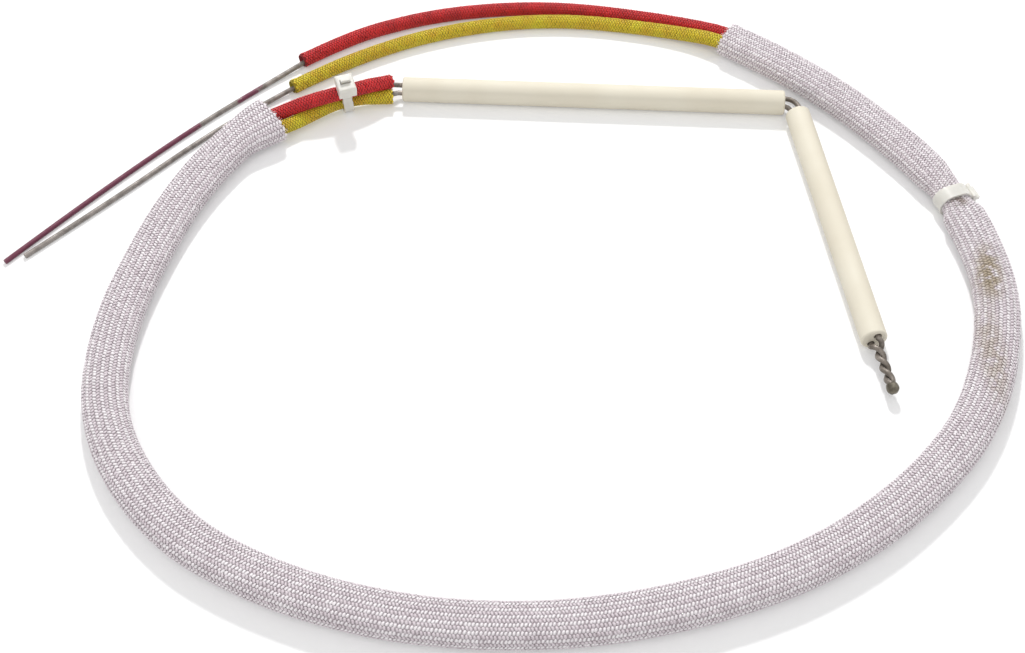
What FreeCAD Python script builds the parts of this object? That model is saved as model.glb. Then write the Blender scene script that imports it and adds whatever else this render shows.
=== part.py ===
import FreeCAD, Part
import math
import os

# Flame sensor probe: a two-wire thermocouple with a bent ceramic-insulated tip and a braided lead.
# All sizes are in millimetres. +X runs along the rear insulator towards the elbow, +Z is up, and
# the probe lies flat with the surface it rests on at z = 0.

# ---- driving dimensions --------------------------------------------------------------------------
INSULATOR_RADIUS = 3.2         # twin-bore ceramic tube, 6.4 mm outside diameter
BORE_RADIUS = 0.95
BORE_SPACING = 2.9             # between the two bore axes
INSULATOR_EDGE = 0.5           # rounding of the fired ends
REAR_INSULATOR_LENGTH = 100.0
FRONT_INSULATOR_LENGTH = 74.5

WIRE_RADIUS = 0.65             # 1.3 mm thermocouple alloy wire
WIRE_SPARE = 1.2               # straight wire past the rear insulator
TIP_SPARE = 0.6                # straight wire past the front insulator
BEAD_RADIUS = 1.55             # fused hot junction
TWIST_LENGTH = 13.5            # from the start of the twist to the bead's centre
TWIST_TURNS = 2.0
TWIST_LEAN = 1.8               # degrees that the twist leans off the front insulator
TWIST_CLOSING = 0.25           # share of the twist over which the wires close up
TWIST_SLACK = 1.05             # wire centre's distance from the twist's axis over the wire radius
TWIST_STEPS = 28               # stations along the twist

REAR_END_X = -60.0             # end of the rear insulator on the lead side
REAR_END_Y = 46.05
REAR_TILT = 0.96               # degrees that the rear insulator turns off X, towards -Y
ELBOW_TURN = 78.75             # degrees that the front insulator turns off the rear one
REAR_GAP = 2.5                 # rear insulator's end to the crossing of the two axes
FRONT_GAP = 4.0                # crossing of the two axes to the front insulator's start
FRONT_ROLL = 65.0              # degrees that the front insulator's bores are rolled off level
ELBOW_EASE = 0.50              # how full the wires' bends between the insulators are

INNER_SLEEVE_RADIUS = 1.9      # coloured glass-fibre sleeve over each wire
INNER_SLEEVE_BORE = 1.35
PAIR_OFFSET = 1.95             # each inner sleeve's distance from the middle of the pair
PAIR_Z = 3.6                   # height of the pair inside the outer sleeve

LONG_SLEEVE_WIDTH = 10.8       # white outer sleeve, an oval braid
LONG_SLEEVE_HEIGHT = 7.6
SHORT_SLEEVE_WIDTH = 10.0
SHORT_SLEEVE_HEIGHT = 7.2
OUTER_WALL = 0.8

TIE_THICKNESS = 1.0            # nylon cable ties
JOINT_TIE_THICKNESS = 0.6
TIE_CLEARANCE = 0.1
FRONT_TIE_WIDTH = 2.4
JOINT_TIE_WIDTH = 3.6
FRONT_HEAD = (5.2, 1.1, 3.6)   # length along the strap, margin on each side of it, height
JOINT_HEAD = (3.4, 0.4, 1.3)
FRONT_HEAD_SHIFT = 1.2         # the front head sits off the top of the pair, towards -Y
HEAD_ROUNDING = 0.5
SLOT_AT = 0.3                  # share of the head's length at which its slot starts
SLOT_PLAY = 0.3                # slot's width and height over the strap's
STRAP_STUB = 1.0               # trimmed strap that stands out of the head
PAWL_SIZE = (0.8, 0.9)         # length and height of the pawl that grips the strap
CINCHED_WIDTH = 8.0            # outer sleeve squeezed inside the joint tie
CINCHED_HEIGHT = 5.6

# ---- places worked out from the driving dimensions -----------------------------------------------
AXIS_Z = INSULATOR_RADIUS
HALF_SPACING = BORE_SPACING / 2
UP = FreeCAD.Vector(0, 0, 1)
REAR_END = FreeCAD.Vector(REAR_END_X, REAR_END_Y, AXIS_Z)


def level_direction(degrees):
    """A level direction by its turn off +X."""
    angle = math.radians(degrees)
    return FreeCAD.Vector(math.cos(angle), math.sin(angle), 0)


ALONG_REAR = level_direction(-REAR_TILT)
ACROSS_REAR = UP.cross(ALONG_REAR)
ALONG_FRONT = level_direction(-REAR_TILT - ELBOW_TURN)
ACROSS_FRONT = UP.cross(ALONG_FRONT)
ALONG_TWIST = level_direction(-REAR_TILT - ELBOW_TURN + TWIST_LEAN)
ACROSS_TWIST = UP.cross(ALONG_TWIST)
ELBOW = REAR_END + ALONG_REAR * (REAR_INSULATOR_LENGTH + REAR_GAP)
TWIST_START = ELBOW + ALONG_FRONT * (FRONT_GAP + FRONT_INSULATOR_LENGTH + TIP_SPARE)
RUN_SHARE = 0.45               # share of the shorter run that an arc takes from each side

# ---- lead routes: points of straight runs, which tangent arcs join --------------------------------
# Middle of the white sleeve, from its mouth near the rear insulator round the loop to its far mouth.
LOOP = [
    (-93.1, 33.0), (-97.8, 29.2), (-102.6, 23.7), (-110.0, 10.9), (-116.8, -8.0), (-123.0, -37.0),
    (-120.4, -65.2), (-102.4, -90.0), (-76.6, -103.8), (-47.5, -110.8), (-16.4, -111.0),
    (12.6, -104.9), (39.4, -93.7), (63.2, -75.2), (80.1, -52.8), (87.8, -22.0), (83.9, 1.8),
    (75.9, 21.2), (58.9, 41.6), (45.7, 53.7), (34.7, 61.9), (25.9, 67.5),
]
JOINT_AFTER = 16               # the long sleeve ends half way along the run after this point

# Red sleeve between the rear insulator and the white mouth, and from the far mouth to its end.
RED_NEAR = [
    (-63.3, 46.9, 4.8), (-67.2, 44.6, 6.25), (-71.8, 42.0, 6.9), (-77.5, 39.7, 6.9),
    (-83.0, 37.9, 6.4), (-89.2, 36.0, 4.8),
]
RED_FAR = [
    (25.5, 70.3, 3.3), (15.0, 74.6, 1.95), (2.0, 77.2, 1.9), (-16.0, 79.7, 1.9),
    (-34.0, 79.4, 1.9), (-53.0, 76.0, 1.9), (-70.0, 69.5, 1.9), (-81.5, 62.1, 1.9),
    (-88.0, 57.0, 1.9),
]
RED_WIRE_END = [
    (-96.5, 49.3, 0.65), (-113.0, 33.4, 0.65), (-136.0, 7.5, 0.65), (-153.5, -14.0, 0.65),
]

# Yellow sleeve, the same two stretches.
YELLOW_NEAR = [
    (-62.6, 43.8, 2.5), (-66.8, 43.4, 2.6), (-71.6, 42.6, 3.0), (-77.5, 40.6, 3.0),
    (-83.2, 36.5, 2.7), (-88.7, 32.1, 2.9),
]
YELLOW_FAR = [
    (23.5, 66.8, 3.9), (15.0, 70.2, 2.5), (1.0, 73.2, 1.95), (-17.0, 75.1, 1.9),
    (-35.5, 73.5, 1.9), (-55.0, 68.0, 1.9), (-71.0, 60.0, 1.9), (-83.0, 52.0, 1.9),
    (-89.5, 47.0, 1.9),
]
YELLOW_WIRE_END = [
    (-97.0, 41.5, 0.65), (-110.5, 29.4, 0.65), (-131.0, 6.4, 0.65), (-149.0, -12.0, 0.65),
]


def vec(point):
    """A point of a route as a vector."""
    return FreeCAD.Vector(*point)


def on_rear(distance, side=0):
    """A point along the rear insulator's axis from its lead end, or in the bore on one side."""
    return REAR_END + ALONG_REAR * distance + ACROSS_REAR * (side * HALF_SPACING)


def front_pair_direction():
    """Direction across the front insulator from one bore to the other."""
    roll = math.radians(FRONT_ROLL)
    return ACROSS_FRONT * math.cos(roll) + UP * math.sin(roll)


def on_front(distance, side=0):
    """A point along the front insulator's axis from the elbow, or in the bore on one side."""
    return ELBOW + ALONG_FRONT * distance + front_pair_direction() * (side * HALF_SPACING)


def cylinder(start, end, radius):
    """A round bar between two points."""
    return Part.makeCylinder(radius, (end - start).Length, start, end - start)


# ---- paths ---------------------------------------------------------------------------------------
def offset_route(route, distance, height):
    """The route moved sideways by a distance, to the right of travel, with mitred corners."""
    flat = [FreeCAD.Vector(x, y, 0) for x, y in route]
    moved = []
    for before, here, after in zip(flat, flat[1:], flat[2:]):
        normal_in = (here - before).normalize().cross(UP)
        normal_out = (after - here).normalize().cross(UP)
        mitre = (normal_in + normal_out) / (1 + normal_in.dot(normal_out))
        point = here + mitre * distance
        moved.append((point.x, point.y, height))
    return moved


def arc_radius(before, here, after):
    """Radius of the tangent arc at one corner: a share of the shorter run over tan(half the turn)."""
    shorter = min((here - before).Length, (after - here).Length)
    half_turn = (here - before).getAngle(after - here) / 2
    return RUN_SHARE * shorter / math.tan(half_turn)


def path_edges(points):
    """Straight runs joined by tangent arcs, in one list of edges."""
    edges = []
    last = points[0]
    for before, here, after in zip(points, points[1:], points[2:]):
        shorter = min((here - before).Length, (after - here).Length)
        arc_start = here + (before - here).normalize() * (RUN_SHARE * shorter)
        arc_end = here + (after - here).normalize() * (RUN_SHARE * shorter)
        radius = arc_radius(before, here, after)
        half_turn = (here - before).getAngle(after - here) / 2
        inward = ((before - here).normalize() + (after - here).normalize()).normalize()
        arc_middle = here + inward * (radius / math.cos(half_turn) - radius)
        edges.append(Part.LineSegment(last, arc_start).toShape())
        edges.append(Part.Arc(arc_start, arc_middle, arc_end).toShape())
        last = arc_end
    edges.append(Part.LineSegment(last, points[-1]).toShape())
    return edges


def circle_profile(centre, direction, radius):
    """A round profile across a path."""
    return Part.Wire([Part.Circle(centre, direction, radius).toShape()])


def oval_profile(centre, direction, width, height):
    """A profile with flat top and bottom and round sides, standing across a level path."""
    side = UP.cross(direction).normalize()
    straight = (width - height) / 2
    up = UP * (height / 2)
    left = centre + side * straight
    right = centre - side * straight
    return Part.Wire([
        Part.LineSegment(right + up, left + up).toShape(),
        Part.Arc(left + up, left + side * (height / 2), left - up).toShape(),
        Part.LineSegment(left - up, right - up).toShape(),
        Part.Arc(right - up, right - side * (height / 2), right + up).toShape(),
    ])


def sweep(edges, profile):
    """A solid that a profile makes along a path."""
    return Part.Wire(edges).makePipeShell([profile], True, False)


def report_cord(name, points, section, solid):
    """Print a cord's tightest bend, its length, and its volume beside section times length."""
    radii = [arc_radius(*corner) for corner in zip(points, points[1:], points[2:])]
    length = sum(edge.Length for edge in path_edges(points))
    print(
        f"{name}: tightest radius {min(radii):.1f}, length {length:.1f}, "
        f"volume {solid.Volume:.1f}, section x length {section * length:.1f}"
    )
    print("   radii", [round(radius) for radius in radii])


def round_cord(name, points, radius, bore=0.0):
    """A round cord or sleeve along a route."""
    edges = path_edges(points)
    start_direction = points[1] - points[0]
    solid = sweep(edges, circle_profile(points[0], start_direction, radius))
    if bore:
        solid = solid.cut(sweep(edges, circle_profile(points[0], start_direction, bore)))
    report_cord(name, points, math.pi * (radius ** 2 - bore ** 2), solid)
    return solid


def oval_area(width, height):
    """Area of the oval profile."""
    return (width - height) * height + math.pi * height ** 2 / 4


def oval_sleeve(name, points, width, height):
    """A hollow oval sleeve along a level route."""
    edges = path_edges(points)
    start_direction = points[1] - points[0]
    inner_width = width - 2 * OUTER_WALL
    inner_height = height - 2 * OUTER_WALL
    outer = sweep(edges, oval_profile(points[0], start_direction, width, height))
    inner = sweep(edges, oval_profile(points[0], start_direction, inner_width, inner_height))
    solid = outer.cut(inner)
    section = oval_area(width, height) - oval_area(inner_width, inner_height)
    report_cord(name, points, section, solid)
    return solid


# ---- probe ---------------------------------------------------------------------------------------
def insulator(start, direction, across, length):
    """A twin-bore ceramic tube with rounded ends."""
    body = Part.makeCylinder(INSULATOR_RADIUS, length, start, direction)
    rims = [edge for edge in body.Edges if edge.Closed]
    body = body.makeFillet(INSULATOR_EDGE, rims)
    for side in (-HALF_SPACING, HALF_SPACING):
        bore_start = start + across * side
        body = body.cut(Part.makeCylinder(BORE_RADIUS, length, bore_start, direction))
    return body


def rear_insulator():
    """The long insulator, with its two bores side by side."""
    return insulator(on_rear(0), ALONG_REAR, ACROSS_REAR, REAR_INSULATOR_LENGTH)


def front_insulator():
    """The short insulator past the elbow, with its two bores rolled off level."""
    across = front_pair_direction()
    return insulator(on_front(FRONT_GAP), ALONG_FRONT, across, FRONT_INSULATOR_LENGTH)


def wire_rear(side):
    """One wire where it runs straight through the rear insulator."""
    return cylinder(on_rear(-WIRE_SPARE, side), on_rear(REAR_INSULATOR_LENGTH, side), WIRE_RADIUS)


def wire_elbow(side):
    """One wire bent between the two insulators, from the level pair to the rolled one."""
    start = on_rear(REAR_INSULATOR_LENGTH, side)
    end = on_front(FRONT_GAP, side)
    reach = (end - start).Length * ELBOW_EASE / math.sqrt(2)
    curve = Part.BezierCurve()
    curve.setPoles([start, start + ALONG_REAR * reach, end - ALONG_FRONT * reach, end])
    profile = circle_profile(start, ALONG_REAR, WIRE_RADIUS)
    return Part.Wire([curve.toShape()]).makePipeShell([profile], True, False)


def twist_point(distance, side):
    """Centre of one wire in the twist: it closes from the bore spacing, then circles the axis."""
    closed = min(distance / (TWIST_LENGTH * TWIST_CLOSING), 1.0)
    ease = closed * closed * (3 - 2 * closed)
    radius = HALF_SPACING + (WIRE_RADIUS * TWIST_SLACK - HALF_SPACING) * ease
    turn = math.radians(FRONT_ROLL) - 2 * math.pi * TWIST_TURNS * distance / TWIST_LENGTH
    off_axis = ACROSS_TWIST * math.cos(turn) + UP * math.sin(turn)
    return TWIST_START + ALONG_TWIST * distance + off_axis * (side * radius)


def wire_tip(side):
    """One wire through the front insulator and twisted with the other as far as the bead."""
    stations = []
    for step in range(TWIST_STEPS + 1):
        stations.append(twist_point(TWIST_LENGTH * step / TWIST_STEPS, side))
    straight = cylinder(on_front(FRONT_GAP, side), stations[0], WIRE_RADIUS)
    curve = Part.BSplineCurve()
    curve.interpolate(stations)
    profile = circle_profile(stations[0], curve.tangent(curve.FirstParameter)[0], WIRE_RADIUS)
    twisted = Part.Wire([curve.toShape()]).makePipeShell([profile], True, False)
    # a ball closes the corner between the straight wire and the leaning twist
    corner = Part.makeSphere(WIRE_RADIUS, stations[0])
    return straight.fuse([twisted, corner]).cut(hot_junction()).removeSplitter()


def hot_junction():
    """The bead that the two wire ends are fused into."""
    return Part.makeSphere(BEAD_RADIUS, TWIST_START + ALONG_TWIST * TWIST_LENGTH)


# ---- lead ----------------------------------------------------------------------------------------
def red_route():
    """Route of the red sleeve, on the outside of the loop."""
    middle = offset_route(LOOP, PAIR_OFFSET, PAIR_Z)
    return [vec(point) for point in RED_NEAR + middle + RED_FAR]


def yellow_route():
    """Route of the yellow sleeve, on the inside of the loop."""
    middle = offset_route(LOOP, -PAIR_OFFSET, PAIR_Z)
    return [vec(point) for point in YELLOW_NEAR + middle + YELLOW_FAR]


def lead_wire(name, sleeve_route, side, bare_end):
    """One lead wire: out of the rear insulator, through its sleeve, and bare at the end."""
    start = on_rear(-WIRE_SPARE, side)
    points = [start] + sleeve_route[1:-1] + [vec(point) for point in bare_end]
    return round_cord(name, points, WIRE_RADIUS)


def joint_point():
    """Middle of the run where the long and the short outer sleeve meet under the tie."""
    before = FreeCAD.Vector(*LOOP[JOINT_AFTER], 0)
    after = FreeCAD.Vector(*LOOP[JOINT_AFTER + 1], 0)
    return (before + after) / 2, (after - before).normalize()


def long_outer_sleeve():
    """The white sleeve from the near mouth to the tie at the joint."""
    height = LONG_SLEEVE_HEIGHT
    points = [FreeCAD.Vector(x, y, height / 2) for x, y in LOOP[:JOINT_AFTER + 1]]
    points.append(joint_point()[0] + UP * (height / 2))
    return oval_sleeve("long_outer_sleeve", points, LONG_SLEEVE_WIDTH, height)


def short_outer_sleeve():
    """The white sleeve from the tie to the far mouth."""
    height = SHORT_SLEEVE_HEIGHT
    points = [joint_point()[0] + UP * (height / 2)]
    points += [FreeCAD.Vector(x, y, height / 2) for x, y in LOOP[JOINT_AFTER + 1:]]
    return oval_sleeve("short_outer_sleeve", points, SHORT_SLEEVE_WIDTH, height)


# ---- cable ties ----------------------------------------------------------------------------------
def tie_head(centre, strap_direction, outward, strap_width, size):
    """A cable tie's ratchet head standing on the strap, with the trimmed strap end in its slot."""
    length, margin, height = size
    width = strap_width + 2 * margin
    block = Part.makeBox(length, width, height)
    edges = [edge for edge in block.Edges if edge.Length > height + HEAD_ROUNDING]
    block = block.makeFillet(HEAD_ROUNDING, edges)
    slot_x = length * SLOT_AT
    slot_size = (TIE_THICKNESS + 2 * SLOT_PLAY, strap_width + SLOT_PLAY, height)
    slot = Part.makeBox(*slot_size, FreeCAD.Vector(slot_x, margin - SLOT_PLAY / 2, 0))
    strap = Part.makeBox(TIE_THICKNESS, strap_width, height + STRAP_STUB + TIE_THICKNESS / 5)
    strap.translate(FreeCAD.Vector(slot_x + SLOT_PLAY, margin, -TIE_THICKNESS / 5))
    # the pawl grips the strap, which makes the head and the strap one locked ring
    pawl = Part.makeBox(PAWL_SIZE[0], strap_width, PAWL_SIZE[1])
    pawl.translate(FreeCAD.Vector(slot_x + TIE_THICKNESS + SLOT_PLAY / 2, margin, height * 0.4))
    head = block.cut(slot).fuse([strap, pawl])
    cable_direction = outward.cross(strap_direction)
    corner = centre - strap_direction * (length / 2) - cable_direction * (width / 2)
    rotation = FreeCAD.Rotation(strap_direction, cable_direction, outward, "XYZ")
    head.Placement = FreeCAD.Placement(corner, rotation)
    return head


def pair_band(low, high, radius, direction, width):
    """A solid round two parallel round bars, as wide along them as given."""
    half = direction * (width / 2)
    lobes = [cylinder(point - half, point + half, radius) for point in (low, high)]
    across = (high - low).normalize()
    side = direction.cross(across).normalize()
    start = low - half - side * radius
    corners = [start, start + side * (2 * radius), start + side * (2 * radius) + (high - low)]
    corners += [start + (high - low), start]
    web = Part.Face(Part.makePolygon(corners)).extrude(direction * width)
    return lobes[0].fuse([lobes[1], web]).removeSplitter()


def front_cable_tie():
    """The tie round the red and yellow sleeves, next to the rear insulator."""
    red_run = vec(RED_NEAR[3]) - vec(RED_NEAR[2])
    yellow_run = vec(YELLOW_NEAR[3]) - vec(YELLOW_NEAR[2])
    red_middle = vec(RED_NEAR[2]) + red_run / 2
    yellow_middle = vec(YELLOW_NEAR[2]) + yellow_run / 2
    along = (red_run.normalize() + yellow_run.normalize()).normalize()
    inner_radius = INNER_SLEEVE_RADIUS + TIE_CLEARANCE
    outer_radius = inner_radius + TIE_THICKNESS
    outer = pair_band(yellow_middle, red_middle, outer_radius, along, FRONT_TIE_WIDTH)
    inner = pair_band(yellow_middle, red_middle, inner_radius, along, FRONT_TIE_WIDTH * 4)
    stack = red_middle - yellow_middle
    stack = (stack - along * stack.dot(along)).normalize()
    strap_way = stack.cross(along)
    head_base = red_middle + stack * (inner_radius + TIE_THICKNESS / 3)
    head_base += strap_way * FRONT_HEAD_SHIFT
    head = tie_head(head_base, strap_way, stack, FRONT_TIE_WIDTH, FRONT_HEAD)
    return outer.fuse(head).cut(inner).removeSplitter()


def sleeve_joint_tie():
    """The tie that squeezes the two outer sleeves together, with its head outside the loop."""
    middle, along = joint_point()
    centre = middle + UP * (LONG_SLEEVE_HEIGHT / 2)
    start = centre - along * (JOINT_TIE_WIDTH / 2)
    outer_width = CINCHED_WIDTH + 2 * JOINT_TIE_THICKNESS
    outer_height = CINCHED_HEIGHT + 2 * JOINT_TIE_THICKNESS
    outer = Part.Face(oval_profile(start, along, outer_width, outer_height))
    outer = outer.extrude(along * JOINT_TIE_WIDTH)
    hole_start = centre - along * (JOINT_TIE_WIDTH * 2)
    hole = Part.Face(oval_profile(hole_start, along, CINCHED_WIDTH, CINCHED_HEIGHT))
    hole = hole.extrude(along * (JOINT_TIE_WIDTH * 4))
    outward = along.cross(UP)
    head_base = centre + outward * ((CINCHED_WIDTH + JOINT_TIE_THICKNESS) / 2)
    head = tie_head(head_base, -UP, outward, JOINT_TIE_WIDTH, JOINT_HEAD)
    return outer.fuse(head).cut(hole).removeSplitter()


# ---- sub-parts -----------------------------------------------------------------------------------
def build():
    """Every sub-part by its name."""
    red = red_route()
    yellow = yellow_route()
    shapes = {
        "rear_insulator": rear_insulator(),
        "front_insulator": front_insulator(),
        "hot_junction_bead": hot_junction(),
        "red_inner_sleeve": round_cord(
            "red_inner_sleeve", red, INNER_SLEEVE_RADIUS, INNER_SLEEVE_BORE
        ),
        "yellow_inner_sleeve": round_cord(
            "yellow_inner_sleeve", yellow, INNER_SLEEVE_RADIUS, INNER_SLEEVE_BORE
        ),
        "negative_lead_wire": lead_wire("negative_lead_wire", red, 1, RED_WIRE_END),
        "positive_lead_wire": lead_wire("positive_lead_wire", yellow, -1, YELLOW_WIRE_END),
        "long_outer_sleeve": long_outer_sleeve(),
        "short_outer_sleeve": short_outer_sleeve(),
        "front_cable_tie": front_cable_tie(),
        "sleeve_joint_tie": sleeve_joint_tie(),
    }
    for wire, side in (("negative_wire", 1), ("positive_wire", -1)):
        shapes[wire + "_rear"] = wire_rear(side)
        shapes[wire + "_elbow"] = wire_elbow(side)
        shapes[wire + "_tip"] = wire_tip(side)
    return shapes


def main():
    """Write one STEP file for each sub-part."""
    os.makedirs("parts", exist_ok=True)
    for node, shape in build().items():
        if not shape.isValid():
            print("NOT VALID", node)
        box = shape.optimalBoundingBox(False)
        print(f"{node}: solids {len(shape.Solids)}, volume {shape.Volume:.1f}, z {box.ZMin:.2f}")
        shape.exportStep("parts/" + node + ".step")


main()
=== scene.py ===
"""Looks of a flame-temperature probe: two alloy wires in twin-bore ceramic, on a braided lead.

Every length is in metres, in the frame's own axes: +X along the rear insulator, +Z up, and the
surface that the probe lies on at z = 0. The white sleeves are made first, then the coloured
sleeves and the wires in them, then the hot end.
"""
import logging
import math
from dataclasses import dataclass, field
from enum import Enum
from functools import cache

import bpy
import numpy as np
from bpy.types import ID, Material, Node, NodeSocket, NodeTree, Object
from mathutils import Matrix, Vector, noise


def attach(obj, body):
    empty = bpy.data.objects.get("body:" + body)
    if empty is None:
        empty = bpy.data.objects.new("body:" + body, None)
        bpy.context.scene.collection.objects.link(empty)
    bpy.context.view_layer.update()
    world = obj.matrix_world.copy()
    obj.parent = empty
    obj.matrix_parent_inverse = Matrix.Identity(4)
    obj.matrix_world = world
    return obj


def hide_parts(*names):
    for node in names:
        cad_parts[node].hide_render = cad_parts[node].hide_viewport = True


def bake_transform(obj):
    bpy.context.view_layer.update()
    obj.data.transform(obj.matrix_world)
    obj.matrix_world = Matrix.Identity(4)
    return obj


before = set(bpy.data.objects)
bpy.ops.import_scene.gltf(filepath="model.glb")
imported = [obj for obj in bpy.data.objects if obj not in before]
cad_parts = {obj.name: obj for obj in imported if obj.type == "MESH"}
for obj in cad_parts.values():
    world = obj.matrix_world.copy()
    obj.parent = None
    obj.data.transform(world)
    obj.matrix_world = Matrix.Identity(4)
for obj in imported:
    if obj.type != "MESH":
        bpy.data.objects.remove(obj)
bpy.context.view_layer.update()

LOG = logging.getLogger("flame_probe")

Point = tuple[float, float, float]
Colour = tuple[float, float, float, float]
Faces = list[list[int]]
Value = NodeSocket | float | Colour
Sockets = dict[str, NodeSocket]


# ---- named options --------------------------------------------------------------------------------
class Body(Enum):
    """The CAD bodies that the pieces made here ride on."""

    LEAD = "lead"
    FRONT_LEG = "front_leg"


class Hand(Enum):
    """Which way a yarn climbs round its sleeve."""

    RIGHT = 1
    LEFT = -1


class Leg(Enum):
    """The two wires of the thermocouple, by the side of the pair that each lies on."""

    NEGATIVE = 1
    POSITIVE = -1


def rgb(red: int, green: int, blue: int) -> Colour:
    """Turn a display colour into the linear one that a shader socket takes.

    Args:
        red: Red from 0 to 255.
        green: Green from 0 to 255.
        blue: Blue from 0 to 255.

    Returns:
        The linear colour with full alpha.
    """
    linear = []
    for value in (red, green, blue):
        share = value / 255
        linear.append(share / 12.92 if share <= 0.04045 else ((share + 0.055) / 1.055) ** 2.4)
    return (linear[0], linear[1], linear[2], 1.0)


# ---- routes of the cords --------------------------------------------------------------------------
LOOP = [
    (-0.0931, 0.0330), (-0.0978, 0.0292), (-0.1026, 0.0237), (-0.1100, 0.0109),
    (-0.1168, -0.0080), (-0.1230, -0.0370), (-0.1204, -0.0652), (-0.1024, -0.0900),
    (-0.0766, -0.1038), (-0.0475, -0.1108), (-0.0164, -0.1110), (0.0126, -0.1049),
    (0.0394, -0.0937), (0.0632, -0.0752), (0.0801, -0.0528), (0.0878, -0.0220), (0.0839, 0.0018),
    (0.0759, 0.0212), (0.0589, 0.0416), (0.0457, 0.0537), (0.0347, 0.0619), (0.0259, 0.0675),
]
JOINT_AFTER = 16  # the long sleeve ends half way along the run after this point
RED_NEAR = [
    (-0.0633, 0.0469, 0.0048), (-0.0672, 0.0446, 0.00625), (-0.0718, 0.0420, 0.0069),
    (-0.0775, 0.0397, 0.0069), (-0.0830, 0.0379, 0.0064), (-0.0892, 0.0360, 0.0048),
]
RED_FAR = [
    (0.0255, 0.0703, 0.0033), (0.0150, 0.0746, 0.00195), (0.0020, 0.0772, 0.0019),
    (-0.0160, 0.0797, 0.0019), (-0.0340, 0.0794, 0.0019), (-0.0530, 0.0760, 0.0019),
    (-0.0700, 0.0695, 0.0019), (-0.0815, 0.0621, 0.0019), (-0.0880, 0.0570, 0.0019),
]
RED_WIRE_END = [
    (-0.0965, 0.0493, 0.00065), (-0.1130, 0.0334, 0.00065), (-0.1360, 0.0075, 0.00065),
    (-0.1535, -0.0140, 0.00065),
]
YELLOW_NEAR = [
    (-0.0626, 0.0438, 0.0025), (-0.0668, 0.0434, 0.0026), (-0.0716, 0.0426, 0.0030),
    (-0.0775, 0.0406, 0.0030), (-0.0832, 0.0365, 0.0027), (-0.0887, 0.0321, 0.0029),
]
YELLOW_FAR = [
    (0.0235, 0.0668, 0.0039), (0.0150, 0.0702, 0.0025), (0.0010, 0.0732, 0.00195),
    (-0.0170, 0.0751, 0.0019), (-0.0355, 0.0735, 0.0019), (-0.0550, 0.0680, 0.0019),
    (-0.0710, 0.0600, 0.0019), (-0.0830, 0.0520, 0.0019), (-0.0895, 0.0470, 0.0019),
]
YELLOW_WIRE_END = [
    (-0.0970, 0.0415, 0.00065), (-0.1105, 0.0294, 0.00065), (-0.1310, 0.0064, 0.00065),
    (-0.1490, -0.0120, 0.00065),
]
REAR_END = (-0.0600, 0.04605, 0.0032)  # lead end of the rear insulator's axis
REAR_TILT = 0.96  # degrees that the rear insulator turns off X, towards -Y
WIRE_SPARE = 0.0012  # straight wire past that end
HALF_SPACING = 0.00145  # half the distance between the two wires
PAIR_OFFSET = 0.00195  # from the loop's line to each coloured sleeve beside it
PAIR_Z = 0.0036  # height of the two inside the white sleeves


def level_direction(degrees: float) -> Vector:
    """A level direction by its turn off +X."""
    angle = math.radians(degrees)
    return Vector((math.cos(angle), math.sin(angle), 0.0))


def on_rear(distance: float, side: Leg) -> Vector:
    """A point on the line of one bore of the rear insulator.

    Args:
        distance: Its distance from the lead end, towards the elbow.
        side: The leg whose bore it is.

    Returns:
        The point.
    """
    along = level_direction(-REAR_TILT)
    across = Vector((-along.y, along.x, 0.0))
    return Vector(REAR_END) + along * distance + across * (side.value * HALF_SPACING)


def beside_loop(side: Leg) -> list[Point]:
    """The loop's points moved to one side of the pair, without its two ends.

    Args:
        side: The leg that the points are for.

    Returns:
        One point for each inner point of the loop.
    """
    moved = []
    for before, here, after in zip(LOOP, LOOP[1:], LOOP[2:]):
        first = (Vector(here) - Vector(before)).normalized()
        second = (Vector(after) - Vector(here)).normalized()
        mitre = (first + second).normalized()
        reach = side.value * PAIR_OFFSET / mitre.dot(first)
        moved.append((here[0] + mitre.y * reach, here[1] - mitre.x * reach, PAIR_Z))
    return moved


def sleeve_route(side: Leg) -> list[Point]:
    """Route of the coloured sleeve over one leg.

    Args:
        side: The leg.

    Returns:
        Its control points, from the insulator on.
    """
    if side is Leg.NEGATIVE:
        return RED_NEAR + beside_loop(side) + RED_FAR
    return YELLOW_NEAR + beside_loop(side) + YELLOW_FAR


def wire_route(side: Leg) -> list[Point]:
    """Route of one leg's wire.

    Args:
        side: The leg.

    Returns:
        Its control points, from the rear insulator to the bare end.
    """
    start = tuple(on_rear(-WIRE_SPARE, side))
    bare_end = RED_WIRE_END if side is Leg.NEGATIVE else YELLOW_WIRE_END
    return [start] + sleeve_route(side)[1:-1] + bare_end


def joint_place(height: float) -> Point:
    """Where the long and the short white sleeve meet.

    Args:
        height: Height of the point above the floor.

    Returns:
        The point.
    """
    before = LOOP[JOINT_AFTER]
    after = LOOP[JOINT_AFTER + 1]
    return ((before[0] + after[0]) / 2, (before[1] + after[1]) / 2, height)


def show(name: str, data: ID) -> Object:
    """Put new data in the scene as an object.

    Args:
        name: Name of the object.
        data: Its mesh, curve, camera or lamp.

    Returns:
        The object.
    """
    piece = bpy.data.objects.new(name, data)
    bpy.context.scene.collection.objects.link(piece)
    return piece


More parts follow.
